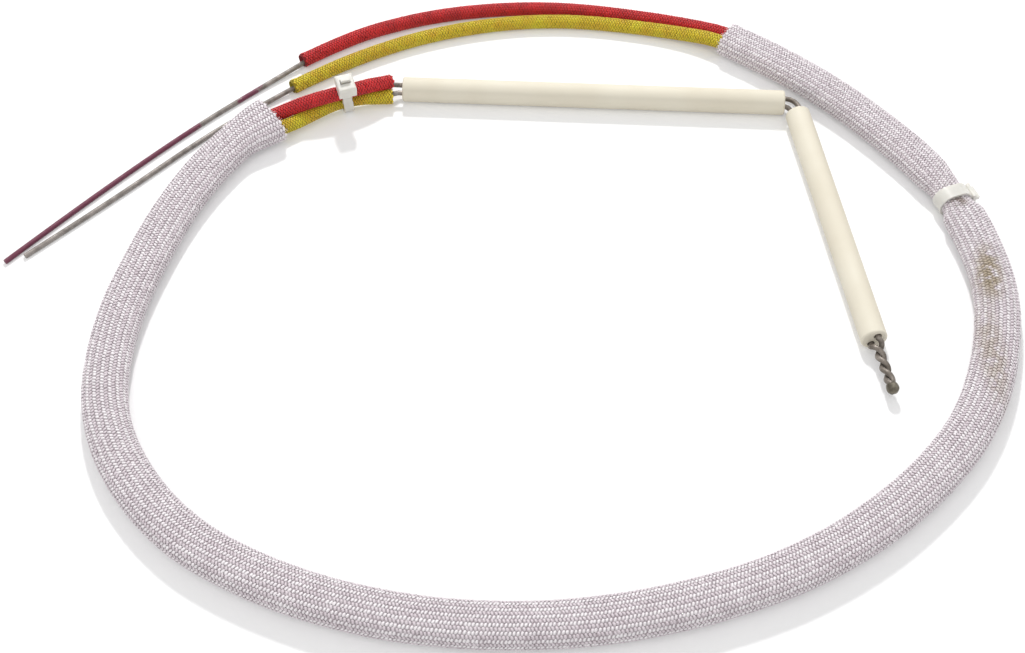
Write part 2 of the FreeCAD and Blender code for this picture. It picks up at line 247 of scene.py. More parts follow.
@dataclass
class Route:
    """A smooth NURBS line and the places along it, by distance from its start.

    Attributes:
        name: Name of the line.
        controls: Control points of the spline.
        points: Points of the smooth line.
        distances: Distance of each from the start.
        tangents: Direction of the line at each.
    """

    name: str
    controls: list[Point]
    points: np.ndarray = field(init=False)
    distances: np.ndarray = field(init=False)
    tangents: np.ndarray = field(init=False)

    def __post_init__(self) -> None:
        """Read the smooth line from the spline."""
        guide = self.curve(self.name + "_guide", 0.0)
        line = bpy.data.meshes.new_from_object(guide)
        self.points = np.array([vertex.co[:] for vertex in line.vertices])
        bpy.data.objects.remove(guide)
        bpy.data.meshes.remove(line)
        steps = np.linalg.norm(np.diff(self.points, axis=0), axis=1)
        self.distances = np.concatenate([[0.0], np.cumsum(steps)])
        slopes = np.gradient(self.points, self.distances, axis=0)
        self.tangents = slopes / np.linalg.norm(slopes, axis=1, keepdims=True)

    def curve(self, name: str, radius: float) -> Object:
        """A curve object along the route.

        Args:
            name: Name of the object.
            radius: Radius of its round section, or 0 for a bare line.

        Returns:
            The curve object, with one open spline.
        """
        data = bpy.data.curves.new(name, "CURVE")
        data.dimensions = "3D"
        data.resolution_u = 24
        data.bevel_depth = radius
        data.bevel_resolution = 5
        data.use_fill_caps = radius > 0
        spline = data.splines.new("NURBS")
        spline.points.add(len(self.controls) - 1)
        for place, control in zip(spline.points, self.controls):
            place.co = (*control, 1.0)
        spline.order_u = 3
        spline.use_endpoint_u = True
        return show(name, data)

    @property
    def length(self) -> float:
        """Length of the smooth line."""
        return float(self.distances[-1])

    def places(self, distance: np.ndarray) -> np.ndarray:
        """Points of the line, carried on straight past both ends.

        Args:
            distance: Their distances from the start.

        Returns:
            A row of x, y, z for each.
        """
        within = np.clip(distance, 0.0, self.length)
        on_line = self._read(self.points, within)
        return on_line + self._read(self.tangents, within) * (distance - within)[..., None]

    def axes(self, distance: np.ndarray) -> tuple[np.ndarray, np.ndarray]:
        """Directions across the line.

        Args:
            distance: Distances from the start.

        Returns:
            The directions to the line's right, and those up from it.
        """
        along = self._read(self.tangents, np.clip(distance, 0.0, self.length))
        along /= np.linalg.norm(along, axis=-1, keepdims=True)
        right = np.cross(along, np.array([0.0, 0.0, 1.0]))
        right /= np.linalg.norm(right, axis=-1, keepdims=True)
        return right, np.cross(right, along)

    def _read(self, values: np.ndarray, distance: np.ndarray) -> np.ndarray:
        """Read a row of values for each distance."""
        columns = [np.interp(distance, self.distances, values[:, axis]) for axis in range(3)]
        return np.stack(columns, axis=-1)


# ---- meshes ---------------------------------------------------------------------------------------
def mesh_piece(name: str, vertices: np.ndarray, faces: Faces, material: Material) -> Object:
    """Make a smooth-shaded mesh object in the scene.

    Args:
        name: Name of the piece.
        vertices: One row of x, y, z for each vertex.
        faces: Vertex numbers of each face.
        material: The finish that it wears.

    Returns:
        The new object.
    """
    data = bpy.data.meshes.new(name)
    data.from_pydata(vertices.tolist(), [], faces)
    data.validate()
    data.shade_smooth()
    data.materials.append(material)
    return show(name, data)


def ring_faces(rings: int, sides: int, closed: bool) -> Faces:
    """Faces between rings of vertices that follow each other.

    Args:
        rings: Number of rings.
        sides: Number of vertices in each ring.
        closed: True where the last ring joins the first.

    Returns:
        The four-sided faces.
    """
    faces = []
    for ring in range(rings if closed else rings - 1):
        after = (ring + 1) % rings
        for side in range(sides):
            turn = (side + 1) % sides
            faces.append(
                [ring * sides + side, ring * sides + turn, after * sides + turn, after * sides + side]
            )
    return faces


def closed_faces(rings: int, sides: int) -> Faces:
    """Faces between open rings of vertices, and over the first and the last of them.

    Args:
        rings: Number of rings.
        sides: Number of vertices in each ring.

    Returns:
        The faces.
    """
    last = (rings - 1) * sides
    ends = [list(range(sides - 1, -1, -1)), [last + side for side in range(sides)]]
    return ring_faces(rings, sides, closed=False) + ends


def capped_tube(path: np.ndarray, radii: np.ndarray, sides: int) -> tuple[np.ndarray, Faces]:
    """A round bar along a path, closed at both ends.

    Args:
        path: Points of the path.
        radii: Radius at each point.
        sides: Number of vertices round the bar.

    Returns:
        Its vertices and faces.
    """
    slopes = np.gradient(path, axis=0)
    slopes /= np.linalg.norm(slopes, axis=1, keepdims=True)
    guide = np.array([0.0, 0.0, 1.0]) if abs(slopes[0][2]) < 0.9 else np.array([1.0, 0.0, 0.0])
    right = np.cross(slopes[0], guide)
    turns = np.arange(sides) / sides * 2 * math.pi
    rings = []
    for place, along, radius in zip(path, slopes, radii):
        right = right - along * right.dot(along)
        right /= np.linalg.norm(right)
        up = np.cross(right, along)
        circle = np.cos(turns)[:, None] * right + np.sin(turns)[:, None] * up
        rings.append(place + circle * radius)
    return np.concatenate(rings), closed_faces(len(path), sides)


# ---- braided sleeves ------------------------------------------------------------------------------
@dataclass(frozen=True)
class Mouth:
    """How a sleeve's end differs from its middle.

    Attributes:
        width: Its width there over the width in the middle.
        height: Its height there over the height in the middle.
        hold: Distance from the end over which that size stays.
        reach: Further distance over which it fades out.
    """

    width: float
    height: float
    hold: float
    reach: float

    def sizes(self, distance: np.ndarray) -> tuple[np.ndarray, np.ndarray]:
        """Factors of the sleeve's size near this mouth.

        Args:
            distance: Distances from the end.

        Returns:
            Factors of the width and of the height.
        """
        fade = np.clip((distance - self.hold) / self.reach, 0.0, 1.0)
        share = 1 - fade * fade * (3 - 2 * fade)
        return 1 + (self.width - 1) * share, 1 + (self.height - 1) * share


@dataclass
class Skin:
    """Outer surface of a sleeve: an oval carried along a route, with its own mouths and lumps.

    Attributes:
        route: The line that the sleeve follows.
        half_width: Half of its width, level with the floor.
        half_height: Half of its height.
        start: The mouth at the route's start.
        end: The mouth at the route's end.
        lumps: How much its size wavers along it.
        wander: How far its yarn columns drift round it, as a share of the way round.
        fullness: 2 for an ellipse, more for a squarer oval.
        perimeter: Length of the outline in the middle of the sleeve.
    """

    route: Route
    half_width: float
    half_height: float
    start: Mouth
    end: Mouth
    lumps: float = 0.0
    wander: float = 0.0
    fullness: float = 2.0
    perimeter: float = field(init=False)
    _shares: np.ndarray = field(init=False)
    _turns: np.ndarray = field(init=False)

    def __post_init__(self) -> None:
        """Space the outline evenly by its own length."""
        self._turns = np.linspace(0.0, 2 * math.pi, 721)
        across, up = self._outline(self._turns)
        steps = np.hypot(np.diff(across * self.half_width), np.diff(up * self.half_height))
        lengths = np.concatenate([[0.0], np.cumsum(steps)])
        self.perimeter = float(lengths[-1])
        self._shares = lengths / self.perimeter

    def _outline(self, turns: np.ndarray) -> tuple[np.ndarray, np.ndarray]:
        """The outline's offsets from its centre.

        Args:
            turns: Angles round it.

        Returns:
            Shares of the half width and of the half height.
        """
        power = 2 / self.fullness
        cosine, sine = np.cos(turns), np.sin(turns)
        across = np.sign(cosine) * np.abs(cosine) ** power
        return across, np.sign(sine) * np.abs(sine) ** power

    def sizes(self, distance: np.ndarray) -> tuple[np.ndarray, np.ndarray]:
        """Size of the oval along the route.

        Args:
            distance: Distances along it.

        Returns:
            The half widths and the half heights.
        """
        start_width, start_height = self.start.sizes(np.maximum(distance, 0.0))
        end_width, end_height = self.end.sizes(np.maximum(self.route.length - distance, 0.0))
        # two waves that don't repeat together
        wave = np.sin(distance / 0.0091) * 0.6 + np.sin(distance / 0.0037 + 1.3) * 0.4
        width = self.half_width * start_width * end_width * (1 + self.lumps * wave)
        height = self.half_height * start_height * end_height * (1 - self.lumps * wave * 0.5)
        return width, height

    def points(self, distance: np.ndarray, around: np.ndarray, lift: np.ndarray) -> np.ndarray:
        """Points on or near the skin.

        Args:
            distance: Distances along the route.
            around: Shares of the way round, from the right-hand side over the top.
            lift: Heights above the skin.

        Returns:
            A row of x, y, z for each.
        """
        drift = self.wander * (np.sin(distance / 0.021) + 0.6 * np.sin(distance / 0.0083 + 0.7))
        turns = np.interp((around + drift) % 1.0, self._shares, self._turns)
        across, up = self._outline(turns)
        width, height = self.sizes(distance)
        steep = 2 - 2 / self.fullness
        out_across = np.sign(np.cos(turns)) * np.abs(np.cos(turns)) ** steep / width
        out_up = np.sign(np.sin(turns)) * np.abs(np.sin(turns)) ** steep / height
        size = np.hypot(out_across, out_up)
        centres = self.route.places(distance)
        right, upward = self.route.axes(distance)
        # a wide mouth grows upwards only, because the sleeve lies on the floor
        rise = np.maximum(height - self.half_height, 0.0)
        sideways = across * width + lift * out_across / size
        upwards = up * height + lift * out_up / size + rise
        return centres + right * sideways[..., None] + upward * upwards[..., None]


@dataclass(frozen=True)
class Weave:
    """A one-over-one braid, as the floats that show on its outside.

    Attributes:
        columns: Columns of floats round the sleeve, those of one hand between those of the other.
        pitch: Distance between two floats of a column.
        length: Length of a float along its yarn.
        width: Width of a float across its yarn.
        crown: Height of a float's middle above the skin.
        tuck: Depth of its two ends below the skin.
    """

    columns: int
    pitch: float
    length: float
    width: float
    crown: float
    tuck: float

    def slant(self, perimeter: float) -> float:
        """Angle between a yarn and the sleeve's own line."""
        return math.atan2(perimeter / self.columns, self.pitch / 2)


# One float: its length runs along the first number, its width along the second, its height along
# the third. Two tips with three rings of four between them.
FLOAT_RINGS = ((-0.28, 0.86), (0.0, 1.0), (0.28, 0.86))
FLOAT_SECTION = ((0.5, 0.45), (0.0, 1.0), (-0.5, 0.45), (0.0, -0.35))


def float_shape() -> tuple[np.ndarray, Faces]:
    """The shape of one float.

    Returns:
        Its vertices, in shares of its length, width and crown, and its faces.
    """
    vertices = [(-0.5, 0.0, -1.0)]
    for along, swell in FLOAT_RINGS:
        for across, height in FLOAT_SECTION:
            vertices.append((along, across * swell, height * swell))
    vertices.append((0.5, 0.0, -1.0))
    sides = len(FLOAT_SECTION)
    last = len(vertices) - 1
    faces = [[0, 1 + (side + 1) % sides, 1 + side] for side in range(sides)]
    for face in ring_faces(len(FLOAT_RINGS), sides, closed=False):
        faces.append([corner + 1 for corner in face])
    ends = [1 + (len(FLOAT_RINGS) - 1) * sides + side for side in range(sides)]
    faces += [[ends[side], ends[(side + 1) % sides], last] for side in range(sides)]
    return np.array(vertices), faces


def keep(piece: Object, body: Body) -> None:
    """Put a piece on its body, and report it.

    Args:
        piece: The piece.
        body: The body that it rides on.
    """
    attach(piece, body.value)
    LOG.info("%s rides on %s", piece.name, body.value)


@dataclass(frozen=True)
class Wall:
    """The hollow wall under a sleeve's yarns.

    Attributes:
        thickness: Its thickness.
        sink: Its depth below the skin, as a share of the yarns' crown.
        sides: Vertices round it.
        step: Distance between two rings along it.
    """

    thickness: float
    sink: float
    sides: int
    step: float


OUTER_WALL = Wall(0.0006, 0.35, 64, 0.0012)
INNER_WALL = Wall(0.00042, 0.4, 32, 0.0016)
SPREAD = 0.05  # spread of the floats' places, lengths and angles
FIBRE_RADIUS = 0.00007
FIBRE_ROOT = 0.0012  # how far inside the mouth a loose fibre starts


@dataclass
class Braid:
    """A braided sleeve on its skin: the wall, the yarns and the frayed fibres.

    Attributes:
        name: Name of the sleeve's CAD node, which starts the names of its pieces.
        skin: The surface that the yarns lie on.
        weave: How the yarns cross.
        seed: Seed of their unevenness.
    """

    name: str
    skin: Skin
    weave: Weave
    seed: int

    def make_yarns(self, label: str, hand: Hand, span: tuple[float, float], material: Material) -> Object:
        """Make every float of one hand over a span of the sleeve, as one piece.

        Args:
            label: End of the piece's name.
            hand: Which of the two sets of yarns this is.
            span: First and last distance along the sleeve.
            material: The yarn's finish.

        Returns:
            The mesh object.
        """
        chance = np.random.default_rng(self.seed + hand.value)
        weave = self.weave
        first_column = 0 if hand is Hand.RIGHT else 1
        rows = np.arange(int((span[1] - span[0]) / weave.pitch))
        columns = np.arange(first_column, weave.columns, 2)
        row, column = (grid.ravel() for grid in np.meshgrid(rows, columns, indexing="ij"))
        count = len(row)
        row_start = 0.25 + 0.5 * first_column
        distance = span[0] + (row + row_start + chance.normal(0, SPREAD, count)) * weave.pitch
        around = (column + chance.normal(0, SPREAD, count)) / weave.columns
        length = weave.length * (1 + chance.normal(0, SPREAD, count))
        width = weave.width * (1 + chance.normal(0, 0.07, count))
        crown = weave.crown * (1 + chance.normal(0, 0.15, count))
        slant = weave.slant(self.skin.perimeter) + chance.normal(0, SPREAD, count)

        shape, shape_faces = float_shape()
        along = shape[None, :, 0] * length[:, None]
        across = shape[None, :, 1] * width[:, None]
        is_tip = shape[None, :, 2] <= -1.0
        lift = np.where(is_tip, -weave.tuck, shape[None, :, 2] * crown[:, None])
        # the yarns of the two hands climb opposite ways
        cosine, sine = np.cos(slant)[:, None], np.sin(slant)[:, None]
        forward = along * cosine - across * sine * hand.value
        sideways = along * sine * hand.value + across * cosine
        vertices = self.skin.points(
            distance[:, None] + forward, around[:, None] + sideways / self.skin.perimeter, lift
        )
        faces = []
        for first in range(0, count * len(shape), len(shape)):
            faces += [[first + corner for corner in face] for face in shape_faces]
        return mesh_piece(f"{self.name}_{label}", vertices.reshape(-1, 3), faces, material)

    def make_wall(self, sizes: Wall, material: Material) -> Object:
        """Make the hollow wall, open at both mouths.

        Args:
            sizes: Its sizes.
            material: The finish that it wears.

        Returns:
            The mesh object.
        """
        length = self.skin.route.length
        sink = self.weave.crown * sizes.sink
        outside = np.linspace(0.0, length, max(int(length / sizes.step), 2))
        lip = sizes.thickness * 0.35
        outer = np.full(len(outside), -sink)
        distance = np.concatenate([outside, outside[::-1]])
        lift = np.concatenate([outer, outer - sizes.thickness])
        # rounded lips at both mouths
        lift[0] = lift[len(outside) - 1] = -sink - lip
        lift[len(outside)] = lift[-1] = -sink - sizes.thickness + lip
        around = np.arange(sizes.sides) / sizes.sides
        grid = np.broadcast_arrays(distance[:, None], around[None, :], lift[:, None])
        vertices = self.skin.points(*(values.ravel() for values in grid))
        faces = [face[::-1] for face in ring_faces(len(distance), sizes.sides, closed=True)]
        return mesh_piece(self.name + "_wall", vertices, faces, material)

    def make_fray(self, at_end: bool, count: int, reach: tuple[float, float], material: Material) -> Object:
        """Make the frayed fibres that stand out of a cut mouth.

        Args:
            at_end: True for the mouth at the route's end.
            count: Number of fibres.
            reach: Shortest and longest reach past the mouth.
            material: The fibre's finish.

        Returns:
            The mesh object.
        """
        chance = np.random.default_rng(self.seed + 7)
        outward = 1.0 if at_end else -1.0
        mouth = self.skin.route.length if at_end else 0.0
        shares = np.linspace(0.0, 1.0, 6)
        radii = FIBRE_RADIUS * (1.05 - shares * 0.75)
        all_vertices = []
        all_faces = []
        total = 0
        for around in (np.arange(count) + chance.uniform(-0.5, 0.5, count)) / count:
            length = chance.uniform(*reach)
            stray = chance.normal(0, 0.012)
            curl = chance.normal(0.0002, 0.00035)
            distance = mouth + outward * (shares * (length + FIBRE_ROOT) - FIBRE_ROOT)
            path = self.skin.points(distance, around + stray * shares, curl * shares**2 - 0.0001)
            path[:, 2] = np.maximum(path[:, 2], 0.0001)
            vertices, faces = capped_tube(path, radii, 5)
            all_vertices.append(vertices)
            all_faces += [[corner + total for corner in face] for face in faces]
            total += len(vertices)
        name = self.name + "_frayed_fibres"
        return mesh_piece(name, np.concatenate(all_vertices), all_faces, material)

    def declare(
        self, wall: Object, pieces: list[Object]
    ) -> None:
        """Args:
            wall: Its wall, which stands for the CAD node.
            pieces: Its yarns and fibres.
        """
        for piece in [wall] + pieces:
            keep(piece, Body.LEAD)
        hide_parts(self.name)


# ---- shader groups --------------------------------------------------------------------------------
class Sheet:
    """A node tree with short calls to add nodes and join them."""

    def __init__(self, tree: NodeTree) -> None:
        """Hold the tree."""
        self.tree = tree

    def add(self, kind: str, **settings: object) -> Node:
        """Add a node.

        Args:
            kind: Blender's name for that node.
            settings: Its own settings.

        Returns:
            The node.
        """
        node = self.tree.nodes.new(kind)
        for name, value in settings.items():
            setattr(node, name, value)
        return node

    def feed(self, value: Value, socket: NodeSocket) -> None:
        """Feed a socket.

        Args:
            value: The socket that feeds it, or a fixed number or colour.
            socket: The socket that is fed.
        """
        if isinstance(value, NodeSocket):
            self.tree.links.new(value, socket)
        else:
            socket.default_value = value

    def place(self) -> NodeSocket:
        """The surface's own place, which stays with the piece."""
        return self.add("ShaderNodeTexCoord").outputs["Object"]

    def noise(self, place: NodeSocket, scale: Value, detail: float, rough: float = 0.5) -> NodeSocket:
        """A noise value at a place.

        Args:
            place: Where it is read.
            scale: Cells in a metre.
            detail: Number of finer layers.
            rough: Strength of those layers.

        Returns:
            The noise, around 0.5.
        """
        node = self.add("ShaderNodeTexNoise")
        settings = {"Vector": place, "Scale": scale, "Detail": detail, "Roughness": rough}
        for title, value in settings.items():
            self.feed(value, node.inputs[title])
        return node.outputs["Fac"]

    def ramp(
        self, value: NodeSocket, low: float, high: float, to: tuple[float, float] = (0, 1)
    ) -> NodeSocket:
        """Spread a value smoothly between two numbers, clamped.

        Args:
            value: The value.
            low: Where the spread starts.
            high: Where it stops.
            to: What comes out at those two.

        Returns:
            The spread value.
        """
        node = self.add("ShaderNodeMapRange", clamp=True, interpolation_type="SMOOTHSTEP")
        settings = {"Value": value, "From Min": low, "From Max": high, "To Min": to[0], "To Max": to[1]}
        for title, setting in settings.items():
            self.feed(setting, node.inputs[title])
        return node.outputs["Result"]

    def maths(
        self, operation: str, first: NodeSocket, second: Value, clamp: bool = False
    ) -> NodeSocket:
        """Work out one sum.

        Args:
            operation: What is done with the values.
            first: The first value.
            second: The second value.
            clamp: True to keep the result between 0 and 1.

        Returns:
            The result.
        """
        node = self.add("ShaderNodeMath", operation=operation, use_clamp=clamp)
        self.feed(first, node.inputs[0])
        self.feed(second, node.inputs[1])
        return node.outputs[0]

    def mix(self, share: NodeSocket, first: Value, second: Value) -> NodeSocket:
        """Mix two colours by a share.

        Args:
            share: 0 for the first, 1 for the second.
            first: A colour or a colour socket.
            second: A colour or a colour socket.

        Returns:
            The mixed colour.
        """
        node = self.add("ShaderNodeMix", data_type="RGBA")
        self.feed(share, node.inputs["Factor"])
        self.feed(first, node.inputs[6])
        self.feed(second, node.inputs[7])
        return node.outputs[2]

    def group(self, tree: NodeTree, **values: float) -> Node:
        """Place a group with its own values.

        Args:
            tree: The group.
            values: Its inputs by name, with _ for a space.

        Returns:
            The group's node.
        """
        node = self.add("ShaderNodeGroup")
        node.node_tree = tree
        for name, value in values.items():
            node.inputs[name.replace("_", " ").title()].default_value = value
        return node


def new_group(name: str, inputs: dict[str, float], outputs: list[str]) -> tuple[Sheet, Sockets, Sockets]:
    """Start a shader group.

    Args:
        name: Name of the group.
        inputs: Its number inputs, with their defaults.
        outputs: Its number outputs.

    Returns:
        Its sheet, its input sockets and its output sockets, by name.
    """
    tree = bpy.data.node_groups.new(name, "ShaderNodeTree")
    for title, value in inputs.items():
        socket = tree.interface.new_socket(title, in_out="INPUT", socket_type="NodeSocketFloat")
        socket.default_value = value
    for title in outputs:
        tree.interface.new_socket(title, in_out="OUTPUT", socket_type="NodeSocketFloat")
    sheet = Sheet(tree)
    entry = sheet.add("NodeGroupInput")
    leave = sheet.add("NodeGroupOutput")
    return sheet, dict(entry.outputs.items()), dict(leave.inputs.items())


@cache
def grain_group() -> NodeTree:
    """Slow mottle and fine grain, which every finish of the probe shares.

    Returns:
        The group.
    """
    inputs = {"Mottle Scale": 120.0, "Grain Scale": 3000.0, "Contrast": 1.0}
    sheet, given, out = new_group("uneven_grain", inputs, ["Mottle", "Grain"])
    place = sheet.place()
    for title, detail in (("Mottle", 4.0), ("Grain", 2.0)):
        noise_value = sheet.noise(place, given[title + " Scale"], detail)
        centred = sheet.maths("SUBTRACT", noise_value, 0.5)
        strong = sheet.maths("MULTIPLY", centred, given["Contrast"])
        spread = sheet.maths("MULTIPLY", strong, 2.4)
        sheet.feed(sheet.maths("ADD", spread, 0.5, clamp=True), out[title])
    return sheet.tree


@cache
def patch_group() -> NodeTree:
    """A ragged patch round a place, for scorch marks, smears and other discoloured patches.

    Returns:
        The group.
    """
    inputs = {"X": 0.0, "Y": 0.0, "Reach X": 0.01, "Reach Y": 0.01, "Ragged": 400.0}
    sheet, given, out = new_group("ragged_patch", inputs, ["Mask"])
    parts = sheet.add("ShaderNodeSeparateXYZ")
    place = sheet.place()
    sheet.feed(place, parts.inputs[0])
    squares = []
    for axis in ("X", "Y"):
        offset = sheet.maths("SUBTRACT", parts.outputs[axis], given[axis])
        share = sheet.maths("DIVIDE", offset, given["Reach " + axis])
        squares.append(sheet.maths("MULTIPLY", share, share))
    far = sheet.maths("SQRT", sheet.maths("ADD", squares[0], squares[1]), 0.0)
    near = sheet.ramp(far, 1.0, 0.2)
    ragged = sheet.ramp(sheet.noise(place, given["Ragged"], 5.0), 0.34, 0.52)
    sheet.feed(sheet.maths("MULTIPLY", near, ragged), out["Mask"])
    return sheet.tree


# ---- finishes -------------------------------------------------------------------------------------
def new_material(name: str) -> tuple[Material, Sheet, Node]:
    """Start a material.

    Args:
        name: Name of the material.

    Returns:
        The material, its sheet and its Principled shader.
    """
    material = bpy.data.materials.new(name)
    material.use_nodes = True
    sheet = Sheet(material.node_tree)
    return material, sheet, material.node_tree.nodes["Principled BSDF"]


@dataclass(frozen=True)
class Grain:
    """How uneven a finish is.

    Attributes:
        mottle: Scale of its slow mottle.
        fine: Scale of its fine grain.
        contrast: Strength of both.
        rough_by: Which of the two changes its roughness.
        rough_below: How far its roughness goes below the middle.
        rough_above: How far it goes above.
        bump_depth: Depth of the grain's bumps.
        bump_strength: How strongly they show.
    """

    mottle: float
    fine: float
    contrast: float
    rough_by: str
    rough_below: float
    rough_above: float
    bump_depth: float
    bump_strength: float


@dataclass(frozen=True)
class Finish:
    """Two mottled colours on an uneven surface.

    Attributes:
        name: Name of the material.
        light: Its colour where it is clean.
        dark: Its colour in the slow mottle.
        roughness: How dull it is.
        surface: How uneven it is.
        plain: The shader's other values, each the same all over.
    """

    name: str
    light: Colour
    dark: Colour
    roughness: float
    surface: Grain
    plain: tuple[tuple[str, float | Point], ...] = ()

    @cache
    def material(self) -> Material:
        """Build the material, once.

        Returns:
            The material.
        """
        material, sheet, shader = new_material(self.name)
        surface = self.surface
        for title, value in self.plain:
            shader.inputs[title].default_value = value
        grain = sheet.group(
            grain_group(), mottle_scale=surface.mottle, grain_scale=surface.fine,
            contrast=surface.contrast,
        )
        colour = sheet.mix(grain.outputs["Mottle"], self.light, self.dark)
        sheet.feed(self.add_marks(sheet, shader, colour), shader.inputs["Base Color"])
        limits = (self.roughness - surface.rough_below, self.roughness + surface.rough_above)
        rough = sheet.ramp(grain.outputs[surface.rough_by], 0.0, 1.0, limits)
        sheet.feed(rough, shader.inputs["Roughness"])
        bump = sheet.add("ShaderNodeBump")
        bump.inputs["Strength"].default_value = surface.bump_strength
        bump.inputs["Distance"].default_value = surface.bump_depth
        sheet.feed(grain.outputs["Grain"], bump.inputs["Height"])
        sheet.feed(bump.outputs["Normal"], shader.inputs["Normal"])
        return material

    def add_marks(self, sheet: Sheet, shader: Node, colour: NodeSocket) -> NodeSocket:
        """Keep the mottled colour as it is, because a plain finish has no marks."""
        return colour


@dataclass(frozen=True)
class Patch:
    """A discoloured patch on a sleeve.

    Attributes:
        x: Its middle along X.
        y: Its middle along Y.
        reach_x: Its reach along X.
        reach_y: Its reach along Y.
        colour: Its colour.
        strength: How fully it covers.
    """

    x: float
    y: float
    reach_x: float
    reach_y: float
    colour: Colour
    strength: float


@dataclass(frozen=True)
class PatchedFinish(Finish):
    """A finish with discoloured patches: scorch marks, and a darker grey-brown patch.

    Attributes:
        patches: The marks.
    """

    patches: tuple[Patch, ...] = ()

    def add_marks(self, sheet: Sheet, shader: Node, colour: NodeSocket) -> NodeSocket:
        """Put the patches on.

        Args:
            sheet: The material's sheet.
            shader: Its shader.
            colour: The mottled colour.

        Returns:
            The colour with the marks.
        """
        for patch in self.patches:
            mark = sheet.group(
                patch_group(), x=patch.x, y=patch.y, reach_x=patch.reach_x, reach_y=patch.reach_y
            )
            share = sheet.maths("MULTIPLY", mark.outputs["Mask"], patch.strength)
            colour = sheet.mix(share, colour, patch.colour)
        return colour


@dataclass(frozen=True)
class CoatedFinish(Finish):
    """Bare wire with a coat of colour on stretches of it.

    Attributes:
        coat: Colour of the coat.
        spans: Spans of X that the coat covers.
    """

    coat: Colour = (0.0, 0.0, 0.0, 1.0)
    spans: tuple[tuple[float, float], ...] = ()

    def add_marks(self, sheet: Sheet, shader: Node, colour: NodeSocket) -> NodeSocket:
        """Put the coat on, with ragged ends, and make the wire metal elsewhere.

        Args:
            sheet: The material's sheet.
            shader: Its shader.
            colour: The mottled colour of the metal.

        Returns:
            The colour with the coat.
        """
        place = sheet.place()
        parts = sheet.add("ShaderNodeSeparateXYZ")
        sheet.feed(place, parts.inputs[0])
        ragged = sheet.ramp(sheet.noise(place, 700.0, 3.0, 0.6), 0.0, 1.0, (-0.0015, 0.0015))
        x = sheet.maths("ADD", parts.outputs["X"], ragged)
        edge = 0.0006
        covers = []
        for low, high in self.spans:
            after = sheet.ramp(x, low - edge, low + edge)
            before = sheet.ramp(x, high + edge, high - edge)
            covers.append(sheet.maths("MULTIPLY", after, before))
        share = covers[0]
        for cover in covers[1:]:
            share = sheet.maths("MAXIMUM", share, cover)
        sheet.feed(sheet.ramp(share, 0.0, 1.0, (METALLIC, COAT_METALLIC)), shader.inputs["Metallic"])
        return sheet.mix(share, colour, self.coat)


YARN = Grain(260.0, 4200.0, 1.0, "Grain", 0.08, 0.08, 0.00006, 0.6)
FIRED_CLAY = Grain(70.0, 1500.0, 0.8, "Mottle", 0.06, 0.1, 0.00002, 0.4)
OXIDE = Grain(420.0, 5200.0, 1.0, "Mottle", 0.1, 0.15, 0.00003, 0.5)
MOULDED = Grain(300.0, 2500.0, 0.7, "Grain", 0.05, 0.1, 0.00003, 0.4)
METALLIC = 0.65  # share of clean metal in the wires' surface, the rest being oxide
COAT_METALLIC = 0.1
BARE = (("Metallic", METALLIC),)
SCORCH = rgb(176, 160, 138)
SCORCH_AND_DARK_PATCHES = (
    Patch(0.0848, -0.0150, 0.0045, 0.0120, SCORCH, 1.0),
    Patch(0.0825, -0.0390, 0.0045, 0.0210, SCORCH, 0.55),
    # A darker grey-brown patch next to the joint tie.
    Patch(0.0805, 0.0085, 0.0032, 0.0032, rgb(150, 134, 126), 0.9),
)


def sheen(weight: float) -> tuple[tuple[str, float], ...]:
    """The soft edge sheen of a yarn, as a finish's plain values."""
    return (("Sheen Weight", weight),)


# One white yarn makes both hands. The left-hand yarns' darker, lilac tint is painted shade: it stands in
# for light falling differently on floats that slant the other way.
WHITE_RIGHT = PatchedFinish(
    "white_yarn_right", rgb(250, 245, 247), rgb(236, 228, 232), 0.5, YARN, sheen(0.15),
    SCORCH_AND_DARK_PATCHES,
)
WHITE_LEFT_SHADED = PatchedFinish(
    "white_yarn_left_painted_shade", rgb(230, 220, 225), rgb(216, 204, 210), 0.6, YARN, sheen(0.15),
    SCORCH_AND_DARK_PATCHES,
)
# The wall under the white yarns is a darker, lilac-grey copy of their colour: painted shade in the gaps
# between the floats.
WHITE_UNDER_SHADED = PatchedFinish(
    "white_yarn_under_painted_shade", rgb(204, 191, 197), rgb(188, 174, 180), 0.7, YARN, sheen(0.1),
    SCORCH_AND_DARK_PATCHES,
)
RED_YARN = Finish("red_yarn", rgb(226, 34, 38), rgb(192, 22, 30), 0.5, YARN, sheen(0.1))
# The wall under the red yarns: a darker copy of their colour, as painted shade in the gaps between the
# floats.
RED_UNDER_SHADED = Finish("red_yarn_under_painted_shade", rgb(150, 20, 26), rgb(120, 16, 22), 0.7, YARN, sheen(0.05))
YELLOW_YARN = Finish(
    "yellow_yarn", rgb(222, 208, 36), rgb(214, 172, 24), 0.5, YARN, sheen(0.1)
)
# The wall under the yellow yarns: a darker copy of their colour, as painted shade in the gaps between the
# floats.
YELLOW_UNDER_SHADED = Finish(
    "yellow_yarn_under_painted_shade", rgb(164, 148, 20), rgb(140, 118, 16), 0.7, YARN, sheen(0.05)
)
CERAMIC = Finish(
    "cream_ceramic", rgb(229, 223, 206), rgb(221, 213, 194), 0.62, FIRED_CLAY,
    (("Specular IOR Level", 0.35),),
)
PROBE_WIRE = Finish("probe_wire", rgb(150, 142, 134), rgb(96, 88, 80), 0.5, OXIDE, BARE)
LEAD_WIRE = Finish("lead_wire", rgb(156, 149, 144), rgb(124, 118, 113), 0.55, OXIDE, BARE)
MARKED_WIRE = CoatedFinish(
    "marked_wire", LEAD_WIRE.light, LEAD_WIRE.dark, LEAD_WIRE.roughness, OXIDE,
    coat=rgb(106, 50, 70), spans=((-0.200, -0.1122), (-0.1033, -0.0983)),
)
